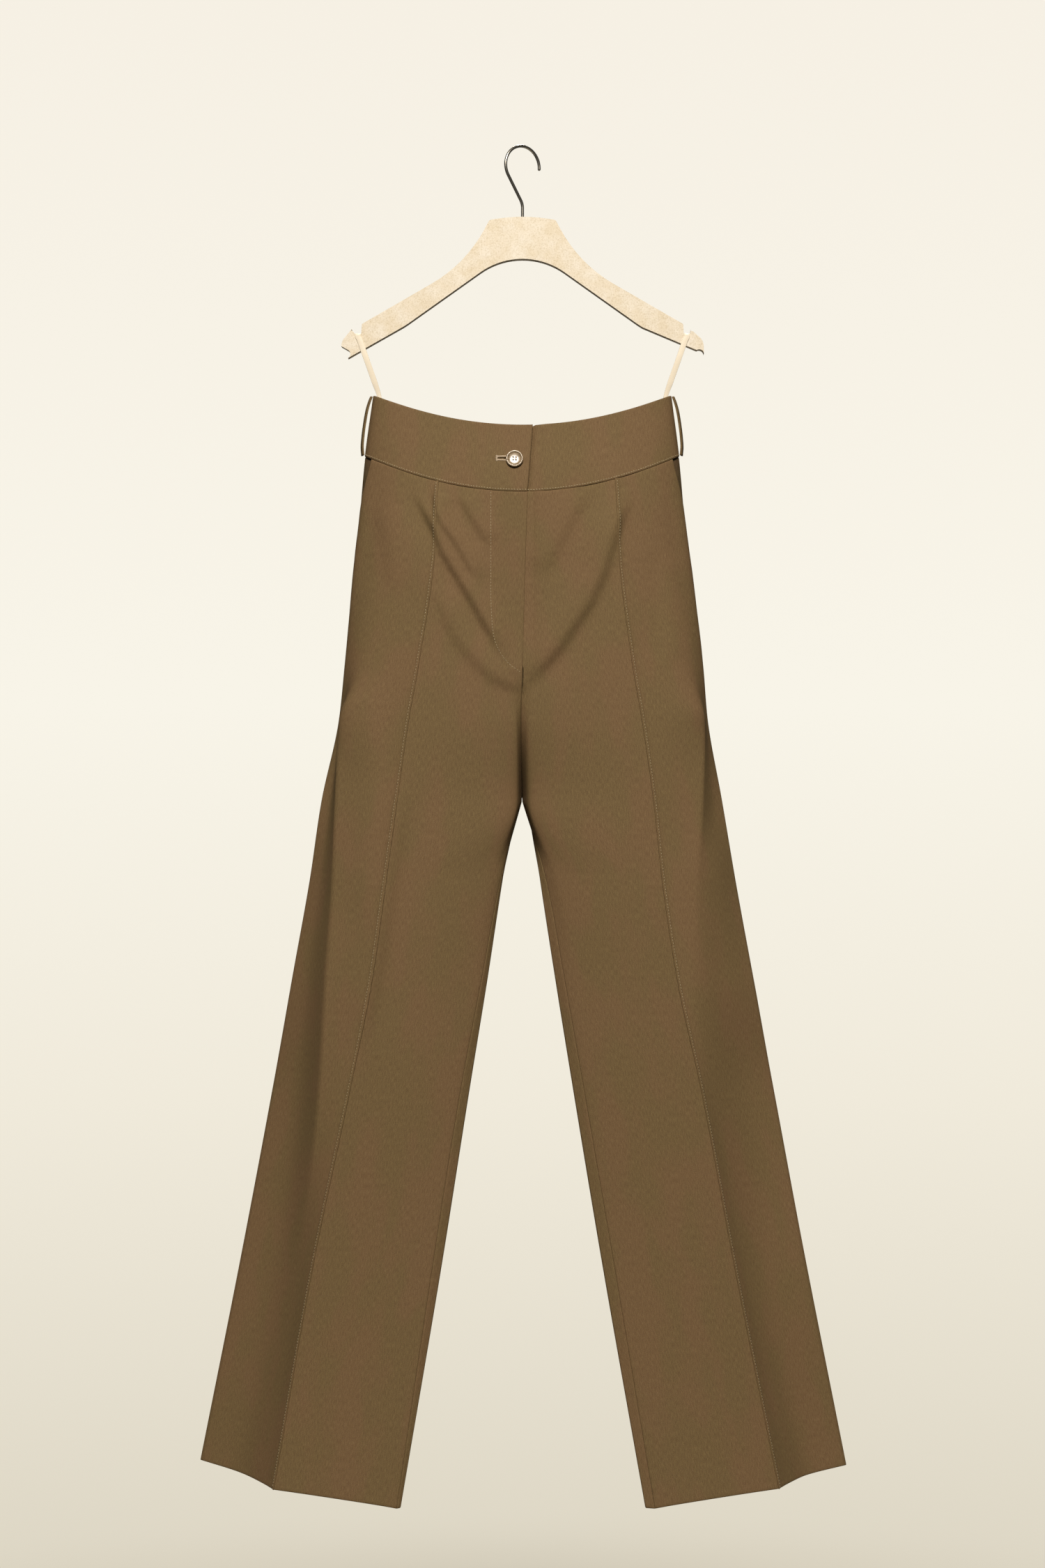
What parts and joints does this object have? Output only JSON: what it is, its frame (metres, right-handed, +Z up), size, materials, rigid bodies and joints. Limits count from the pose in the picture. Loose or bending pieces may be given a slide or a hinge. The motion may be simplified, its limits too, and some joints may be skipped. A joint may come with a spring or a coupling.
{
  "type": "tailored trousers on a hanger",
  "caption": "High-waisted wide-leg trousers with stitched front creases, hung by ribbon loops from a flat notched hanger with a wire hook.",
  "frame": {"origin": "inner crown of the hanger's hook, where it bears on a rail", "axes": "+Z up, +Y to the back, the front of the trousers faces -Y, +X to the viewer's right"},
  "size_m": [0.7048, 0.1506, 1.4655],
  "materials": {
    "twill": "matte olive brown wool twill",
    "satin": "cream satin ribbon",
    "horn": "polished grey brown horn",
    "hanger_plastic": "fine matte, speckled cream",
    "hook_steel": "bright drawn wire"
  },
  "bodies": {
    "root": {"waistband_front_over": "twill", "waistband_front_under": "twill", "waistband_back": "twill", "front_left": "twill", "front_right": "twill", "back_left": "twill", "back_right": "twill", "pocket_facing_left": "twill", "pocket_facing_right": "twill", "belt_loop_left": "twill", "belt_loop_right": "twill", "button": "horn", "ribbon_loop_left": "satin", "ribbon_loop_right": "satin", "hanger_body": "hanger_plastic", "hanger_hook": "hook_steel"}
  },
  "joints": []
}
